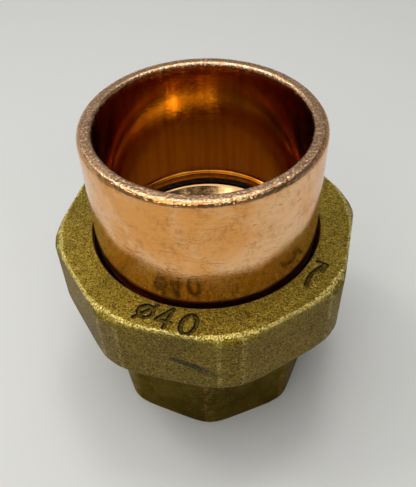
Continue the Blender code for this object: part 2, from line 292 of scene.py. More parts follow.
def struckDepth(x, y, mark):
    # 1 on a stroke, 0 away from it: the distance to the nearest stroke, eased over the groove's sloping side,
    # less a bell curve beside it for the raised burr
    centre = mark["direction"]
    turn = centre + pi / 2 + mark["tilt"]
    dx, dy = (x - mark["radius"] * cos(centre)) / mm, (y - mark["radius"] * sin(centre)) / mm
    across, inward = dx * cos(turn) + dy * sin(turn), -dx * sin(turn) + dy * cos(turn)
    nearest = np.full(x.shape, np.inf)
    for (ax, ay), (bx, by) in mark["strokes"]:
        strokeX, strokeY = bx - ax, by - ay
        lengthSquared = strokeX ** 2 + strokeY ** 2
        share = np.clip(((across - ax) * strokeX + (inward - ay) * strokeY) / lengthSquared, 0, 1)
        away = np.hypot(across - ax - share * strokeX, inward - ay - share * strokeY)
        nearest = np.minimum(nearest, away)
    burr = np.exp(-((nearest - groove["burrAt"]) / groove["burrWidth"]) ** 2)
    return 1.0 - easeStep(groove["floorHalf"], groove["edgeHalf"], nearest) - groove["burrHeight"] * burr


# octagonal nut

nut = {
    "flat": 30.75 * mm, "cornerRadius": 32.4 * mm, "cornerDirection": radians(-83), "chamfer": 1.2 * mm,
    "edgeRound": 0.5 * mm, "cornerRound": 0.16 * mm, "holeRadius": 24.35 * mm, "holeRound": 0.3 * mm,
    "lipThickness": 2.9 * mm, "reliefRadius": 28.2 * mm, "reliefLength": 1.9 * mm, "mouthRadius": 28.6 * mm,
    "strikeDepth": 0.42 * mm, "castDents": 0.035 * mm, "dentWaves": 9, "dentTurns": 23, "dentSeed": 21,
    "topDents": 0.4,  # the dents' share on the top face
    # columns round the nut, how many times closer they stand at a mark, and how far round it
    "columns": 560, "markCrowding": 2.2, "markSpread": radians(15), "edgeBand": 2.0 * mm,
    # where the cast skin starts: radii past the hole, height over the foot, share of the top's radius, and
    # depths below the top
    "skinRadii": (0.02 * mm, 0.2 * mm), "skinFoot": 0.3 * mm, "flankShare": 0.97,
    "topSkin": 0.2 * mm, "topFace": 0.05 * mm, "dentsBelow": 0.3 * mm,
    # rubbed edges: where on the rounding, how far the wear reaches and how strong it is
    "wearOut": 0.7, "wearIn": 0.3, "cornerBelow": 0.5,
    # along the top edge the bright rub is wear and partly a painted highlight
    "topWearAndHighlightReach": 0.55 * mm, "footWearReach": 0.45 * mm, "footWear": 0.7,
    "cornerWearReach": 0.3 * mm, "cornerWear": 0.55,
    # the flanks from these depths below the top down get painted shade, so they are darker than the top
    "shadeDepths": (0.3 * mm, 1.6 * mm),
    "marks": [
        {"direction": radians(-106.3), "radius": 27.4 * mm, "tilt": radians(-7), "strokes": boreMark()},
        {"direction": radians(-38.5), "radius": 27.2 * mm, "tilt": radians(-5), "strokes": turnArrow()},
    ],
}


def makeNut(n):
    # side radius = soft minimum of octagon and trimming cylinder, less the edge rounding; inside, the outline
    # goes down through the hole and the thread; the top carries the marks
    low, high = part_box("union_nut")
    edge, hole, holeRound = n["edgeRound"], n["holeRadius"], n["holeRound"]
    relief, mouth, band = n["reliefRadius"], n["mouthRadius"], n["edgeBand"]
    directions = [mark["direction"] % (2 * pi) for mark in n["marks"]]
    angles = evenAngles(n["columns"], directions, extra=n["markCrowding"], spread=n["markSpread"])
    octagon = flatRadius(angles, n["flat"], n["cornerDirection"])

    def side(height):
        # the octagon trimmed by a cylinder that a chamfer narrows at both ends
        lowerCut = np.maximum(0.0, n["chamfer"] - (height - low.z))
        upperCut = np.maximum(0.0, n["chamfer"] - (high.z - height))
        return softMin(octagon, n["cornerRadius"] - (lowerCut + upperCut), n["cornerRound"])

    lowerTurn = np.radians(np.arange(-90, 0, 18))[:, None]
    upperTurn = np.radians(np.arange(0, 90, 18))[:, None]
    lowerRound = low.z + edge * (1 + np.sin(lowerTurn))
    upperRound = high.z - edge * (1 - np.sin(upperTurn))
    flank = levels((low.z + edge, low.z + band, 5), (low.z + band, high.z - band, 15),
                   (high.z - band, high.z - edge, 6))
    topEdge, bottomEdge = side(high.z) - edge, side(low.z) - edge
    lipBase = high.z - n["lipThickness"]
    reliefBase = lipBase - n["reliefLength"]
    down = levels((reliefBase, low.z, 56))
    tapped = toothRadius(angles, down, thread["nutRoot"], thread["nutBase"])
    tapped = np.maximum(tapped, np.maximum(relief - (reliefBase - down), mouth - (down - low.z)))
    stretches = [
        [side(lowerRound) - edge * (1 - np.cos(lowerTurn)), lowerRound],
        [side(flank), flank],
        [side(upperRound) - edge * (1 - np.cos(upperTurn)), upperRound],
        run((topEdge, high.z), (hole + holeRound, high.z), 46),
        bend(hole + holeRound, high.z - holeRound, holeRound, 90, 180, 4),
        run((hole, high.z - holeRound), (hole, lipBase), 5),
        run((hole, lipBase), (relief, lipBase), 4),
        run((relief, lipBase), (relief, reliefBase), 3),
        [tapped, down],
        run((mouth, low.z), (bottomEdge, low.z), 6),
    ]
    radius, height = stacked(stretches, len(angles))
    # the skin that shows: the flanks and the top, fading out at the hole and at the foot
    skinFrom, skinTo = n["skinRadii"]
    outer = easeStep(hole + skinFrom, hole + skinTo, radius) * easeStep(0.0, n["skinFoot"], height - low.z)
    outside = outer * ((radius > n["flankShare"] * topEdge) | (height > high.z - n["topSkin"]))
    top = (height > high.z - n["topFace"]) & (radius > hole + holeRound)
    x, y = radius * np.cos(angles), radius * np.sin(angles)
    struck = sum(struckDepth(x, y, mark) for mark in n["marks"]) * top
    # rubbed edges, strongest at the outermost line of each rounding
    wearOut, wearIn = n["wearOut"] * edge, n["wearIn"] * edge
    # along the top edge the bright rub is wear and partly a painted highlight
    topWearAndHighlight = nearness(radius, height, topEdge + wearOut, high.z - wearIn, n["topWearAndHighlightReach"])
    footAway = np.hypot(radius - bottomEdge - wearOut, height - low.z - wearIn)
    footWear = n["footWear"] * np.exp(-(footAway / n["footWearReach"]) ** 2)
    belowTop = height < high.z - n["cornerBelow"] * edge
    corner = np.exp(-((octagon - n["cornerRadius"]) / n["cornerWearReach"]) ** 2) * outside * belowTop
    shadeFrom, shadeTo = n["shadeDepths"]
    masks = {
        "worn": np.clip(topWearAndHighlight + footWear + n["cornerWear"] * corner, 0, 1),
        "struck": np.clip(struck, 0, 1),
        "inside": 1.0 - np.clip(outside + (footAway < mm), 0, 1),
    }
    dents = waviness(angles, height, n["dentSeed"], n["dentWaves"], n["dentTurns"]) * outside
    radius = radius - n["castDents"] * np.abs(dents) * (height < high.z - n["dentsBelow"])
    height = height - n["strikeDepth"] * struck - n["topDents"] * n["castDents"] * (1 + dents) * top
    # painted shade: a mask that darkens the flanks below the top
    masks["flank"] = outside * easeStep(high.z - shadeFrom, high.z - shadeTo, height)
    return wallMesh("octagonNut", radius, height, angles, masks)


# brass body

body = {
    "flat": 23.2 * mm, "cornerRadius": 24.6 * mm, "cornerDirection": radians(-92), "footChamfer": 0.8 * mm,
    "footRound": 0.35 * mm, "cornerRound": 0.2 * mm, "headBase": 28.1 * mm, "headChamfer": 0.9 * mm,
    "cupRadius": 20.7 * mm, "cupDepth": 27.9 * mm, "cupChamfer": 0.4 * mm, "waterway": 18.0 * mm,
    "seatChamfer": 2.2 * mm, "seatRound": 0.15 * mm, "columns": 400, "edgeBand": 1.4 * mm,
    "castDents": 0.03 * mm, "dentWaves": 8, "dentTurns": 19, "dentSeed": 31,
    # rubbed edges, where the cast skin starts outside the cup, and where the machined skin ends
    "wearIn": 0.3, "footWearReach": 0.4 * mm, "footWear": 0.9,
    "cornerWearBand": (-0.08 * mm, 0.1 * mm), "cornerWear": 0.42,
    "skinFrom": 0.6 * mm, "skinBelow": 0.1 * mm, "machinedReach": 0.42 * mm, "machinedBelow": 0.05 * mm,
}


def makeBody(b):
    # up the octagonal foot, out under the head, up the thread, in over the seat and down through the waterway
    # and the cup; the foot's radius is the soft minimum of octagon and trimming cylinder, less its rounding
    low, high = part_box("union_body")
    angles = evenAngles(b["columns"])
    octagon = flatRadius(angles, b["flat"], b["cornerDirection"])
    edge, headBase, band = b["footRound"], b["headBase"], b["edgeBand"]
    cup, cupDepth, cupChamfer = b["cupRadius"], b["cupDepth"], b["cupChamfer"]

    def side(height):
        # the octagon trimmed by a cylinder that a chamfer narrows at the foot
        cut = np.maximum(0.0, b["footChamfer"] - (height - low.z))
        return softMin(octagon, b["cornerRadius"] - cut, b["cornerRound"])

    turn = np.radians(np.arange(-90, 0, 15))[:, None]
    roundHeight = low.z + edge * (1 + np.sin(turn))
    flank = levels((low.z + edge, low.z + band, 4), (low.z + band, headBase, 12))
    head = levels((headBase, high.z, 48))
    headEdge = thread["bodyRoot"] + thread["depth"] - b["headChamfer"]
    threaded = toothRadius(angles, head, thread["bodyRoot"], thread["bodyBase"])
    threaded = np.minimum(threaded, headEdge + np.minimum(head - headBase, high.z - head))
    waterway, seatRound = b["waterway"], b["seatRound"]
    seatRadius = waterway + b["seatChamfer"]
    seatBase = high.z - b["seatChamfer"]
    mouth = cup + cupChamfer
    stretches = [
        [side(roundHeight) - edge * (1 - np.cos(turn)), roundHeight],
        [side(flank), flank],
        run((side(headBase), headBase), (headEdge, headBase), 5),
        [threaded, head],
        run((headEdge, high.z), (seatRadius + seatRound, high.z), 8),
        run((seatRadius + seatRound, high.z), (seatRadius - seatRound, high.z - seatRound), 2),
        run((seatRadius - seatRound, high.z - seatRound), (waterway + seatRound, seatBase + seatRound), 7),
        run((waterway + seatRound, seatBase + seatRound), (waterway, seatBase - seatRound), 2),
        run((waterway, seatBase - seatRound), (waterway, cupDepth), 6),
        run((waterway, cupDepth), (cup, cupDepth), 4),
        run((cup, cupDepth), (cup, low.z + cupChamfer), 12),
        run((cup, low.z + cupChamfer), (mouth, low.z), 2),
        run((mouth, low.z), (side(low.z) - edge, low.z), 4),
    ]
    radius, height = stacked(stretches, len(angles))
    foot = (height < headBase - b["skinBelow"]) & (radius > cup + b["skinFrom"])
    wearIn = b["wearIn"] * edge
    footAway = np.hypot(radius - side(low.z) + wearIn, height - low.z - wearIn)
    footWear = b["footWear"] * np.exp(-(footAway / b["footWearReach"]) ** 2)
    corner = easeStep(*b["cornerWearBand"], octagon - b["cornerRadius"]) * foot
    worn = np.clip(footWear + b["cornerWear"] * corner, 0, 1)
    dents = np.abs(waviness(angles, height, b["dentSeed"], b["dentWaves"], b["dentTurns"]))
    radius = radius - b["castDents"] * dents * foot * easeStep(0.0, mm, height - low.z)
    cut = (radius < cup + b["machinedReach"]) | (height > headBase - b["machinedBelow"])
    return wallMesh("brassBody", radius, height, angles, {"worn": worn, "machined": cut * 1.0})


# gasket

gasket = {
    "holeRadius": 20.3 * mm, "edgeRound": 0.25 * mm, "columns": 240,
    "squeeze": 0.03 * mm, "dentWaves": 5, "dentTurns": 12, "dentSeed": 41,
}


def makeGasket(g):
    # a flat ring with rounded edges, its faces pressed in a little by slow dents
    low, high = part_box("seat_gasket")
    edge, hole, rimRadius = g["edgeRound"], g["holeRadius"], high.x
    angles = evenAngles(g["columns"])
    stretches = [
        bend(rimRadius - edge, low.z + edge, edge, -90, 0, 4),
        run((rimRadius, low.z + edge), (rimRadius, high.z - edge), 2),
        bend(rimRadius - edge, high.z - edge, edge, 0, 90, 4),
        run((rimRadius - edge, high.z), (hole + edge, high.z), 8),
        bend(hole + edge, high.z - edge, edge, 90, 180, 4),
        run((hole, high.z - edge), (hole, low.z + edge), 2),
        bend(hole + edge, low.z + edge, edge, 180, 270, 4),
        run((hole + edge, low.z), (rimRadius - edge, low.z), 8),
    ]
    radius, height = stacked(stretches, len(angles))
    middle = 0.5 * (low.z + high.z)
    dents = 0.5 + 0.5 * waviness(angles, radius, g["dentSeed"], g["dentWaves"], g["dentTurns"])
    height = height + np.sign(middle - height) * g["squeeze"] * dents
    return wallMesh("blackGasket", radius, height, angles, {})


# nodes: small makers, then the effects that several materials share

def addNode(tree, kind, settings=None, **inputs):
    # one node; an input is a number, a tuple or another node's output, and is named, or numbered as n0, n1
    made = tree.nodes.new("ShaderNode" + kind)
    for name, value in (settings or {}).items():
        setattr(made, name, value)
    for name, value in inputs.items():
        socket = made.inputs[int(name[1:]) if name[1:].isdigit() else name.replace("_", " ")]
        if isinstance(value, bpy.types.NodeSocket):
            tree.links.new(value, socket)
        else:
            socket.default_value = value
    return made


def maths(tree, operation, *values):
    # one Math node on two or three values
    numbered = {f"n{k}": value for k, value in enumerate(values)}
    return addNode(tree, "Math", {"operation": operation}, **numbered).outputs[0]


def times(tree, *values):
    # the product of the values, one Math node after another
    product = values[0]
    for value in values[1:]:
        product = maths(tree, "MULTIPLY", product, value)
    return product


def shifted(tree, amount, size, base):
    # base + size * amount
    return maths(tree, "MULTIPLY_ADD", amount, size, base)


def ramp(tree, value, low, high, toLow=0.0, toHigh=1.0):
    # low to high becomes toLow to toHigh, eased at both ends and held beyond them
    made = addNode(tree, "MapRange", {"interpolation_type": "SMOOTHSTEP"}, Value=value,
                   From_Min=low, From_Max=high, To_Min=toLow, To_Max=toHigh)
    return made.outputs[0]


def mixColour(tree, share, first, second, mode="MIX"):
    # first where share is 0, second where it is 1
    made = addNode(tree, "Mix", {"data_type": "RGBA", "blend_type": mode}, n0=share, n6=first, n7=second)
    return made.outputs[2]


def noise(tree, spot, scale, **settings):
    # the grey value of a noise texture
    return addNode(tree, "TexNoise", Vector=spot, Scale=scale, **settings).outputs[0]


def sharedEffect(name, inputs, outputs, build):
    # a node group with number or vector inputs and number outputs, filled in by build(tree, inputs)
    tree = bpy.data.node_groups.new(name, "ShaderNodeTree")
    for socket, value in inputs.items():
        kind = "NodeSocketVector" if isinstance(value, tuple) else "NodeSocketFloat"
        made = tree.interface.new_socket(name=socket, in_out="INPUT", socket_type=kind)
        made.default_value = value
    for socket in outputs:
        tree.interface.new_socket(name=socket, in_out="OUTPUT", socket_type="NodeSocketFloat")
    start, end = tree.nodes.new("NodeGroupInput"), tree.nodes.new("NodeGroupOutput")
    for socket, value in zip(outputs, build(tree, start.outputs)):
        tree.links.new(value, end.inputs[socket])
    return tree


def place(tree, effect, **inputs):
    # a shared effect in a material, with that material's own values
    made = tree.nodes.new("ShaderNodeGroup")
    made.node_tree = effect
    for name, value in inputs.items():
        if isinstance(value, bpy.types.NodeSocket):
            tree.links.new(value, made.inputs[name])
        else:
            made.inputs[name].default_value = value
    return made.outputs


effects = {
    "cellDepth": -0.45, "glintSize": (0.12, 0.42), "glintSpacing": 0.61, "glintPick": (0.46, 0.6),
    "slowBand": (0.36, 0.64), "quickFiner": 5.3, "quickBand": (0.4, 0.68),
    "hairFade": 0.08, "rubContrast": 3.0, "rubOffset": -0.55, "rubBand": (0.25, 0.8),
}


def buildGrain(tree, given):
    # blasted or cast skin: fine noise for the height, small cells for the grains that catch the light
    spot = addNode(tree, "TexCoord").outputs["Object"]
    fine = noise(tree, spot, given["perMetre"], Detail=3.0, Roughness=0.62)
    cell = addNode(tree, "TexVoronoi", Vector=spot, Scale=given["perMetre"]).outputs["Distance"]
    spacing = times(tree, given["perMetre"], effects["glintSpacing"])
    picked = ramp(tree, noise(tree, spot, spacing, Detail=1.0), *effects["glintPick"])
    glint = times(tree, ramp(tree, cell, *effects["glintSize"], 1.0, 0.0), picked)
    return shifted(tree, cell, effects["cellDepth"], fine), fine, glint


def buildMottle(tree, given):
    # slow drift of colour, with a finer cloud over it
    spot = addNode(tree, "TexCoord").outputs["Object"]
    moved = addNode(tree, "Mapping", Vector=spot, Location=given["shift"]).outputs[0]
    slow = noise(tree, moved, given["perMetre"], Detail=4.0, Roughness=0.6, Distortion=0.5)
    faster = times(tree, given["perMetre"], effects["quickFiner"])
    quick = noise(tree, moved, faster, Detail=3.0, Roughness=0.7)
    return ramp(tree, slow, *effects["slowBand"]), ramp(tree, quick, *effects["quickBand"])


def buildScratches(tree, given):
    # hair lines: where stretched noise crosses one half, kept only inside patches of a slower noise
    wrap = addNode(tree, "UVMap", {"uv_map": "wrap"}).outputs[0]
    laid = addNode(tree, "Mapping", Vector=wrap, Location=given["shift"], Rotation=given["turn"],
                   Scale=given["stretch"]).outputs[0]
    lines = noise(tree, laid, 1.0, Detail=1.5, Roughness=0.45, Distortion=0.35)
    away = maths(tree, "ABSOLUTE", maths(tree, "SUBTRACT", lines, 0.5))
    line = addNode(tree, "MapRange", Value=away, From_Max=given["width"], To_Min=1.0, To_Max=0.0)
    moved = addNode(tree, "Mapping", Vector=wrap, Location=given["shift"]).outputs[0]
    patch = noise(tree, moved, given["patches"], Detail=2.0, Roughness=0.6)
    full = maths(tree, "ADD", given["cover"], effects["hairFade"])
    kept = addNode(tree, "MapRange", Value=patch, From_Min=given["cover"], From_Max=full)
    return (times(tree, line.outputs[0], kept.outputs[0]),)


def buildStreaks(tree, given):
    # tool lines: noise stretched along or across the wall, as drawing and turning leave them
    wrap = addNode(tree, "UVMap", {"uv_map": "wrap"}).outputs[0]
    laid = addNode(tree, "Mapping", Vector=wrap, Scale=given["stretch"]).outputs[0]
    return (noise(tree, laid, 1.0, Detail=3.0, Roughness=0.6),)


def buildRub(tree, given):
    # rubbed edges: the piece's own mask, broken up by noise
    spot = addNode(tree, "TexCoord").outputs["Object"]
    rough = noise(tree, spot, given["perMetre"], Detail=4.0, Roughness=0.65)
    broken = times(tree, given["where"], shifted(tree, rough, effects["rubContrast"], effects["rubOffset"]))
    return (ramp(tree, broken, *effects["rubBand"]),)


still = (0.0, 0.0, 0.0)
grain = sharedEffect("grain", {"perMetre": 2500.0}, ["height", "fine", "glint"], buildGrain)
mottle = sharedEffect("mottle", {"perMetre": 90.0, "shift": still}, ["slow", "quick"], buildMottle)
scratches = sharedEffect("scratches", {"shift": still, "turn": still, "stretch": (1.0, 1.0, 1.0),
                                       "width": 0.01, "patches": 0.2, "cover": 0.5}, ["line"], buildScratches)
streaks = sharedEffect("streaks", {"stretch": (3.0, 0.1, 1.0)}, ["tone"], buildStreaks)
rub = sharedEffect("rub", {"where": 0.0, "perMetre": 900.0}, ["rubbed"], buildRub)
print("shared effects built")


def newMaterial(name):
    # a material, its node tree and the shader that is wired to its output
    material = bpy.data.materials.new(name)
    material.use_nodes = True
    tree = material.node_tree
    return material, tree, tree.nodes["Principled BSDF"]


def attribute(tree, name):
    # a mask kept on the piece's points
    return addNode(tree, "Attribute", {"attribute_name": name}).outputs["Fac"]


def carve(tree, layers):
    # one Bump node after another: each layer is (height, depth in metres)
    normal = None
    for height, depth in layers:
        made = addNode(tree, "Bump", Height=height, Strength=1.0, Distance=depth)
        if normal is not None:
            tree.links.new(normal, made.inputs["Normal"])
        normal = made.outputs[0]
    return normal


def wire(tree, shader, metallic, **values):
    # the shader's colour, roughness and normal, and how much of a metal it is
    for name, value in values.items():
        tree.links.new(value, shader.inputs[name.replace("_", " ")])
    shader.inputs["Metallic"].default_value = metallic


copper = {
    "bright": (0.92, 0.56, 0.285, 1), "deep": (0.82, 0.375, 0.10, 1), "stain": (0.40, 0.15, 0.035, 1),
    # the near-black colour at the end of the next line is painted shade for the gap and the ledge
    "rimTone": (0.60, 0.30, 0.135, 1), "rimGlint": (1.0, 0.78, 0.53, 1), "paintedShade": (0.10, 0.035, 0.012, 1),
    # the two cup colours are the copper inside the cup painted darker and redder: painted shade and bounced
    # light
    "cupShadedTone": (0.76, 0.36, 0.024, 1), "cupShadedDeep": (0.67, 0.26, 0.012, 1),
    "drift": {"perMetre": 70.0, "shift": (0.013, 0.04, 0.002)},
    "spots": {"perMetre": 190.0, "shift": (0.05, 0.011, 0.07)},
    "skin": {"perMetre": 2100.0},
    "hairs": [
        {"shift": (3.0, 7.0, 0.0), "turn": (0, 0, 0.5), "stretch": (0.16, 0.75, 1), "width": 0.008,
         "patches": 0.16, "cover": 0.49},
        {"shift": (41.0, 17.0, 0.0), "turn": (0, 0, -0.7), "stretch": (0.14, 0.9, 1), "width": 0.008,
         "patches": 0.13, "cover": 0.5},
    ],
    "drawnStretch": (0.55, 0.04, 1), "drawnBand": (0.35, 0.7), "sawnBand": (0.44, 0.66),
    # how strongly each mark and the painted shade colour the copper
    "stainShare": 0.5, "hairShare": 0.75, "paintedShadeShare": 0.9,
    # roughness of the wall, and what hairs, rim and cup add to it
    "satin": (0.12, 0.18), "hairSatin": 0.14, "rimSatin": 0.16, "cupSatin": -0.05,
    # depths in metres; the grain's depth is a share on the wall, and more on the rim
    "grainDepth": 0.00014, "grainOnWall": 0.09, "grainOnRim": 0.7,
    "hairDepth": 0.000008, "drawnDepth": 0.000005,
}


def makeCopper(c):
    # drawn copper, satin: warm drift of colour, hair scratches, small stains, a sawn and deburred rim
    material, tree, shader = newMaterial("drawnCopper")
    rim, cup = attribute(tree, "rim"), attribute(tree, "cup")
    drift, spots = place(tree, mottle, **c["drift"]), place(tree, mottle, **c["spots"])
    skin = place(tree, grain, **c["skin"])
    first, second = (place(tree, scratches, **hair)["line"] for hair in c["hairs"])
    lines = times(tree, maths(tree, "MAXIMUM", first, second), maths(tree, "SUBTRACT", 1.0, cup))
    drawn = place(tree, streaks, stretch=c["drawnStretch"])["tone"]
    tone = mixColour(tree, drift["slow"], c["bright"], c["deep"])
    tone = mixColour(tree, times(tree, spots["quick"], spots["slow"], c["stainShare"]), tone, c["stain"])
    tone = mixColour(tree, times(tree, lines, c["hairShare"]), tone, c["stain"])
    # inside the cup the copper is painted darker and redder as painted shade and bounced light, streaked
    # along the drawing lines
    shadedInner = mixColour(tree, ramp(tree, drawn, *c["drawnBand"]), c["cupShadedTone"], c["cupShadedDeep"])
    tone = mixColour(tree, cup, tone, shadedInner)
    sawn = mixColour(tree, ramp(tree, skin["fine"], *c["sawnBand"]), c["rimTone"], c["rimGlint"])
    tone = mixColour(tree, rim, tone, sawn)
    # painted shade in the gap under the nut and round the ledge's corners: a near-black colour laid over the
    # copper
    tone = mixColour(tree, times(tree, attribute(tree, "paintedShade"), c["paintedShadeShare"]), tone, c["paintedShade"])
    satin = ramp(tree, drift["quick"], 0.0, 1.0, *c["satin"])
    satin = shifted(tree, lines, c["hairSatin"], satin)
    satin = shifted(tree, rim, c["rimSatin"], satin)
    satin = shifted(tree, times(tree, cup, drawn), c["cupSatin"], satin)
    rough = times(tree, skin["height"], shifted(tree, rim, c["grainOnRim"], c["grainOnWall"]))
    normal = carve(tree, [(rough, c["grainDepth"]), (times(tree, lines, -1.0), c["hairDepth"]),
                          (times(tree, drawn, cup), c["drawnDepth"])])
    wire(tree, shader, 1.0, Base_Color=tone, Roughness=satin, Normal=normal)
    return material


blasted = {
    "gold": (0.55, 0.398, 0.048, 1), "olive": (0.36, 0.262, 0.032, 1), "brown": (0.22, 0.125, 0.022, 1),
    "rubbed": (1.0, 0.83, 0.28, 1), "strokeDark": (0.02, 0.016, 0.01, 1), "cut": (0.62, 0.46, 0.15, 1),
    # the side colour multiplies the flanks darker: painted shade
    "pits": (0.065, 0.044, 0.009, 1), "side": (0.56, 0.52, 0.42, 1), "scuffTone": (0.03, 0.032, 0.014, 1),
    "drift": {"perMetre": 45.0, "shift": (0.02, 0.013, 0.05)},
    "spots": {"perMetre": 150.0, "shift": (0.01, 0.07, 0.03)},
    "skin": {"perMetre": 2600.0}, "wearPerMetre": 800.0, "turnedStretch": (0.05, 3.0, 1),
    # how strongly each mark colours the brass, as the fine noise goes from low to high
    "brownShare": 0.45, "pitBand": (0.37, 0.55), "pitShares": (0.75, 0.0),
    "rubBand": (0.4, 0.6), "rubShares": (0.15, 0.9),
    "strokeDarkRise": (0.03, 0.35), "strokeDarkFall": (0.8, 1.0), "strokeDarkAtBottom": 0.62, "strokeDarkShare": 0.97,
    # roughness, and what rubbing and cutting add to it
    "mattBand": (0.3, 0.7), "matt": (0.6, 0.44), "rubbedMatt": -0.12, "cutMatt": -0.15,
    "grainDepth": 0.00036, "cutGrain": -0.9, "rubbedGrain": -0.35, "turnedDepth": 0.00003,
    # a dark rub on the front flat and a fainter smear beside it: middle, turn, half lengths, strength
    "scuffs": [((-0.00456, -0.03065, 0.0351), (0, radians(13), radians(-15.5)), (0.0046, 0.002, 0.0011), 1.0),
               ((-0.0012, -0.0315, 0.0337), (0, radians(18), radians(-12)), (0.0044, 0.004, 0.0017), 0.55)],
    "scuffFade": 0.45, "scuffBand": (0.35, 0.6), "scuffThin": 0.75,
}


def makeBlasted(c):
    # blasted brass: grains that catch light, olive to brown drift, bright rubbed edges, darker struck marks
    material, tree, shader = newMaterial("blastedBrass")
    worn, struck, inside = attribute(tree, "worn"), attribute(tree, "struck"), attribute(tree, "inside")
    drift, spots = place(tree, mottle, **c["drift"]), place(tree, mottle, **c["spots"])
    skin = place(tree, grain, **c["skin"])
    rubbed = place(tree, rub, where=worn, perMetre=c["wearPerMetre"])["rubbed"]
    turned = place(tree, streaks, stretch=c["turnedStretch"])["tone"]
    tone = mixColour(tree, drift["slow"], c["gold"], c["olive"])
    tone = mixColour(tree, times(tree, spots["quick"], c["brownShare"]), tone, c["brown"])
    tone = mixColour(tree, skin["glint"], tone, c["rubbed"])
    tone = mixColour(tree, ramp(tree, skin["fine"], *c["pitBand"], *c["pitShares"]), tone, c["pits"])
    # bright rubbed edges: wear, and along the top edge partly a painted highlight
    shine = times(tree, rubbed, ramp(tree, skin["fine"], *c["rubBand"], *c["rubShares"]))
    tone = mixColour(tree, shine, tone, c["rubbed"])
    tone = mixColour(tree, inside, tone, c["cut"])
    # the struck marks are darkened, most on their sloping sides and less on their floors
    edge = ramp(tree, struck, *c["strokeDarkRise"])
    bottom = ramp(tree, struck, *c["strokeDarkFall"], 1.0, c["strokeDarkAtBottom"])
    tone = mixColour(tree, times(tree, edge, bottom, c["strokeDarkShare"]), tone, c["strokeDark"])
    # painted shade: the flanks are multiplied darker than the top
    tone = mixColour(tree, attribute(tree, "flank"), tone, c["side"], "MULTIPLY")
    for middle, turn, reach, share in c["scuffs"]:
        spot = addNode(tree, "TexCoord").outputs["Object"]
        laid = addNode(tree, "Mapping", {"vector_type": "TEXTURE"}, Vector=spot,
                       Location=middle, Rotation=turn, Scale=reach).outputs[0]
        blot = addNode(tree, "TexGradient", {"gradient_type": "SPHERICAL"}, Vector=laid).outputs["Fac"]
        thinned = ramp(tree, skin["fine"], *c["scuffBand"], share, c["scuffThin"] * share)
        shade = times(tree, ramp(tree, blot, 0.0, c["scuffFade"]), thinned)
        tone = mixColour(tree, shade, tone, c["scuffTone"])
    matt = ramp(tree, skin["fine"], *c["mattBand"], *c["matt"])
    matt = shifted(tree, rubbed, c["rubbedMatt"], matt)
    matt = shifted(tree, inside, c["cutMatt"], matt)
    rough = times(tree, skin["height"], shifted(tree, inside, c["cutGrain"], 1.0),
                  shifted(tree, rubbed, c["rubbedGrain"], 1.0))
    normal = carve(tree, [(rough, c["grainDepth"]), (times(tree, turned, inside), c["turnedDepth"])])
    wire(tree, shader, 1.0, Base_Color=tone, Roughness=matt, Normal=normal)
    return material


cast = {
    "olive": (0.11, 0.078, 0.02, 1), "dark": (0.055, 0.040, 0.012, 1), "rubbed": (0.42, 0.25, 0.07, 1),
    # machined: brass turned pinkish brown, partly painted copper reflection and painted shade on the seat
    "machined": (0.60, 0.35, 0.155, 1), "grazing": (0.85, 0.74, 0.45, 1),
    "drift": {"perMetre": 110.0, "shift": (0.08, 0.02, 0.01)},
    "skin": {"perMetre": 1700.0}, "wearPerMetre": 700.0,
    "hairs": {"shift": (13.0, 5.0, 0.0), "turn": (0, 0, 0.25), "stretch": (0.1, 0.8, 1), "width": 0.011,
              "patches": 0.12, "cover": 0.5},
    "turnedStretch": (0.04, 3.4, 1), "glintShare": 0.35, "rubShare": 0.6,
    "matt": (0.34, 0.46), "machinedMatt": -0.24,
    "grainDepth": 0.00006, "machinedGrain": -0.97, "turnedDepth": 0.000005,
}


def makeCast(c):
    # cast brass: smoother and darker than the nut, rubbed corners, a bright machined seat, thread and head
    material, tree, shader = newMaterial("castBrass")
    worn, machined = attribute(tree, "worn"), attribute(tree, "machined")
    drift, skin = place(tree, mottle, **c["drift"]), place(tree, grain, **c["skin"])
    rubbed = place(tree, rub, where=worn, perMetre=c["wearPerMetre"])["rubbed"]
    lines = place(tree, scratches, **c["hairs"])["line"]
    turned = place(tree, streaks, stretch=c["turnedStretch"])["tone"]
    tone = mixColour(tree, drift["slow"], c["olive"], c["dark"])
    tone = mixColour(tree, times(tree, skin["glint"], c["glintShare"]), tone, c["rubbed"])
    shine = times(tree, maths(tree, "MAXIMUM", rubbed, lines), c["rubShare"])
    tone = mixColour(tree, shine, tone, c["rubbed"])
    # the machined surfaces: brass colour, partly a painted reflection of the copper and painted shade on the
    # seat
    tone = mixColour(tree, machined, tone, c["machined"])
    matt = ramp(tree, drift["quick"], 0.0, 1.0, *c["matt"])
    matt = shifted(tree, machined, c["machinedMatt"], matt)
    rough = times(tree, skin["height"], shifted(tree, machined, c["machinedGrain"], 1.0))
    normal = carve(tree, [(rough, c["grainDepth"]), (times(tree, turned, machined), c["turnedDepth"])])
    wire(tree, shader, 1.0, Base_Color=tone, Roughness=matt, Normal=normal)
    shader.inputs["Specular Tint"].default_value = c["grazing"]
    return material


rubber = {
    "black": (0.012, 0.012, 0.012, 1), "dusty": (0.05, 0.048, 0.045, 1),
    "bloom": {"perMetre": 160.0, "shift": (0.03, 0.03, 0.03)}, "skin": {"perMetre": 3000.0},
    "matt": (0.5, 0.68), "grainDepth": 0.00002,
}


def makeRubber(c):
    # black rubber with a dusty bloom and a fine moulded skin
    material, tree, shader = newMaterial("blackRubber")
    bloom, skin = place(tree, mottle, **c["bloom"]), place(tree, grain, **c["skin"])
    tone = mixColour(tree, bloom["quick"], c["black"], c["dusty"])
    matt = ramp(tree, bloom["slow"], 0.0, 1.0, *c["matt"])
    normal = carve(tree, [(skin["height"], c["grainDepth"])])
    wire(tree, shader, 0.0, Base_Color=tone, Roughness=matt, Normal=normal)
    return material


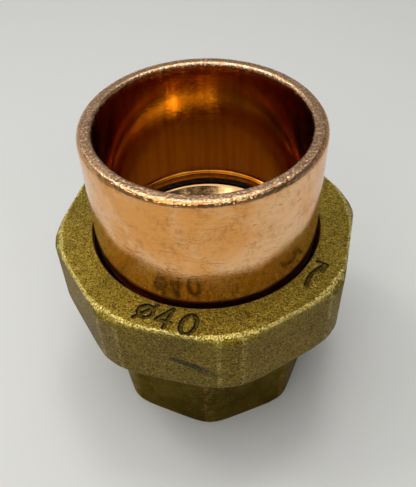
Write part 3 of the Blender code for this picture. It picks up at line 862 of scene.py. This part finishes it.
pieces = [
    (makeBody(body), "body", "union_body", "cast_brass", makeCast(cast)),
    (makeGasket(gasket), "washer", "seat_gasket", "black_rubber", makeRubber(rubber)),
    (makeTail(tail), "tail", "tail_piece", "drawn_copper", makeCopper(copper)),
    (makeNut(nut), "nut", "union_nut", "blasted_brass", makeBlasted(blasted)),
]
for piece, bodyName, node, slot, material in pieces:
    piece.data.materials.append(material)
    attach(piece, bodyName)
    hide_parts(node)
print("pieces riding:", ", ".join(piece.name for piece, *_ in pieces))


# floor, lights and camera

studio = {
    "floorSize": 3.0, "floorTone": (0.795, 0.80, 0.785, 1), "floorRoughness": 0.6,
    # the surround: bright up to the horizon angle, dim from the upper one, dimmer in front and at the right
    "backdrop": 0.50, "ceiling": 0.16, "horizon": radians(8), "upper": radians(24),
    "frontToBack": (-0.6, 0.4), "frontShare": 0.55,
    "leftToRight": (-0.5, 0.7), "leftShare": 1.1, "rightShare": 0.7,
    "airTone": (0.95, 0.98, 1.0, 1), "lampAim": (0.0, 0.0, 0.03),
    "lights": [
        # name, place, size, watts, colour
        ("overhead", (-0.10, -0.02, 0.66), 0.84, 3.2, (1.0, 0.985, 0.955)),
        ("leftTube", (-0.30, 0.10, 0.56), 0.11, 0.40, (1.0, 0.985, 0.95)),
        ("rightTube", (0.04, 0.10, 0.58), 0.11, 0.35, (1.0, 0.985, 0.95)),
        ("frontLeft", (-0.21, -0.38, 0.42), 0.16, 0.20, (1.0, 1.0, 0.98)),
        ("frontRight", (0.20, -0.38, 0.42), 0.10, 0.15, (1.0, 1.0, 0.98)),
        ("window", (-0.75, 0.30, 0.40), 0.50, 0.15, (1.0, 1.0, 1.0)),
    ],
    # pitch and roll in degrees
    "lens": 45.552, "target": (0.00025, 0.0, 0.03649), "distance": 0.13834, "pitch": 45.654, "roll": -2.051,
    "clipStart": 0.005,
}


def makeFloor(s):
    # a flat square under the object with a faint paper tone
    half = 0.5 * s["floorSize"]
    mesh = bpy.data.meshes.new("floor")
    corners = [(-half, -half, 0), (half, -half, 0), (half, half, 0), (-half, half, 0)]
    mesh.from_pydata(corners, [], [(0, 1, 2, 3)])
    floor = bpy.data.objects.new("floor", mesh)
    bpy.context.scene.collection.objects.link(floor)
    material, _, shader = newMaterial("paleFloor")
    shader.inputs["Base Color"].default_value = s["floorTone"]
    shader.inputs["Roughness"].default_value = s["floorRoughness"]
    mesh.materials.append(material)


def makeStudio(s):
    # a surround that is bright near the horizon and behind, dimmer above and in front, and square lamps that
    # are turned to the object
    world = bpy.data.worlds.new("studio")
    bpy.context.scene.world = world
    world.use_nodes = True
    tree = world.node_tree
    way = addNode(tree, "SeparateXYZ", Vector=addNode(tree, "TexCoord").outputs["Generated"]).outputs
    rising = ramp(tree, way["Z"], sin(s["horizon"]), sin(s["upper"]), s["backdrop"], s["ceiling"])
    facing = ramp(tree, way["Y"], *s["frontToBack"], s["frontShare"], 1.0)
    sideways = ramp(tree, way["X"], *s["leftToRight"], s["leftShare"], s["rightShare"])
    background = tree.nodes["Background"]
    background.inputs["Color"].default_value = s["airTone"]
    tree.links.new(times(tree, rising, facing, sideways), background.inputs["Strength"])
    for name, spot, size, watts, colour in s["lights"]:
        lamp = bpy.data.lights.new(name, "AREA")
        lamp.size = size
        lamp.energy = watts
        lamp.color = colour
        hung = bpy.data.objects.new(name, lamp)
        aim = (Vector(spot) - Vector(s["lampAim"])).to_track_quat("Z", "Y")
        hung.matrix_world = Matrix.Translation(spot) @ aim.to_matrix().to_4x4()
        bpy.context.scene.collection.objects.link(hung)


def makeCamera(s):
    # the camera stands off the target along its pitch and is turned a little about its own view
    pitch = radians(s["pitch"])
    tx, ty, tz = s["target"]
    seat = Matrix.Translation((tx, ty - s["distance"] * cos(pitch), tz + s["distance"] * sin(pitch)))
    camera = bpy.data.objects.new("camera", bpy.data.cameras.new("camera"))
    camera.data.lens = s["lens"]
    camera.data.clip_start = s["clipStart"]
    tilt = Matrix.Rotation(pi / 2 - pitch, 4, "X")
    camera.matrix_world = seat @ tilt @ Matrix.Rotation(radians(s["roll"]), 4, "Z")
    bpy.context.scene.collection.objects.link(camera)
    bpy.context.scene.camera = camera


makeFloor(studio)
makeStudio(studio)
makeCamera(studio)
bpy.context.scene.view_settings.view_transform = "Standard"
print("floor, lights and camera set")
